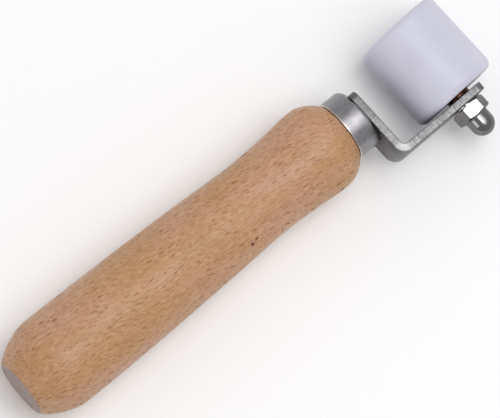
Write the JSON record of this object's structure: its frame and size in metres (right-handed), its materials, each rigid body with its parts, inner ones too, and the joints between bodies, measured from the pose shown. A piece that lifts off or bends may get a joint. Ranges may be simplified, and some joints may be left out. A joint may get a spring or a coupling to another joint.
{
  "type": "seam roller",
  "caption": "Hand seam roller: a smooth white plastic roller on ball bearings, held on one side by an L-shaped steel bracket with an acorn nut, on a turned wooden handle with a ferrule",
  "frame": {"origin": "centre of the flat butt end of the handle, on the handle's axis", "axes": "+X along the handle's axis towards the roller; -Y the side of the acorn nut, +Y the free end of the roller; +Z normal to the plane of the handle's axis and the roller's axis"},
  "size_m": [0.1728, 0.0437, 0.0302],
  "materials": {
    "handle": "turned beech, fine dark flecks along the grain, satin varnish",
    "ferrule": "drawn steel cup, brushed round",
    "bar": "zinc-plated flat bar, bare sheared edges",
    "polished": "bright polished steel",
    "bearing": "ground bearing steel",
    "cage": "pressed sheet",
    "brass": "turned, dull",
    "roller": "white PTFE, smooth satin"
  },
  "bodies": {
    "handle_assembly": {"handle": "handle", "ferrule": "ferrule", "tang": "bar", "bracket": "bar", "axle_bolt": "polished", "acorn_nut": "polished", "bolt_washer": "polished", "arm_spacer": "brass", "bearing_sleeve": "brass", "near_bearing_inner_ring": "bearing", "far_bearing_inner_ring": "bearing"},
    "roller": {"roller_sleeve": "roller", "near_bearing_outer_ring": "bearing", "near_bearing_arm_side_shield": "bearing", "near_bearing_free_side_shield": "bearing", "far_bearing_outer_ring": "bearing", "far_bearing_arm_side_shield": "bearing", "far_bearing_free_side_shield": "bearing"},
    "near_cage": {"near_bearing_cage": "cage", "near_bearing_ball_1": "polished", "near_bearing_ball_2": "polished", "near_bearing_ball_3": "polished", "near_bearing_ball_4": "polished", "near_bearing_ball_5": "polished", "near_bearing_ball_6": "polished", "near_bearing_ball_7": "polished"},
    "far_cage": {"far_bearing_cage": "cage", "far_bearing_ball_1": "polished", "far_bearing_ball_2": "polished", "far_bearing_ball_3": "polished", "far_bearing_ball_4": "polished", "far_bearing_ball_5": "polished", "far_bearing_ball_6": "polished", "far_bearing_ball_7": "polished"}
  },
  "joints": [
    {"name": "roller_spin", "type": "hinge", "parent": "handle_assembly", "child": "roller", "pos_m": [0.15795, 0.00026, 0], "axis": [-0.0541, 0.9985, 0], "continuous": true},
    {"name": "near_cage_spin", "type": "hinge", "parent": "handle_assembly", "child": "near_cage", "pos_m": [0.15851, -0.01023, 0], "axis": [-0.0541, 0.9985, 0], "continuous": true},
    {"name": "far_cage_spin", "type": "hinge", "parent": "handle_assembly", "child": "far_cage", "pos_m": [0.15765, 0.00565, 0], "axis": [-0.0541, 0.9985, 0], "continuous": true}
  ],
  "couplings": [
    {"joint": "near_cage_spin", "follows": "roller_spin", "ratio": 0.64},
    {"joint": "far_cage_spin", "follows": "roller_spin", "ratio": 0.64}
  ]
}
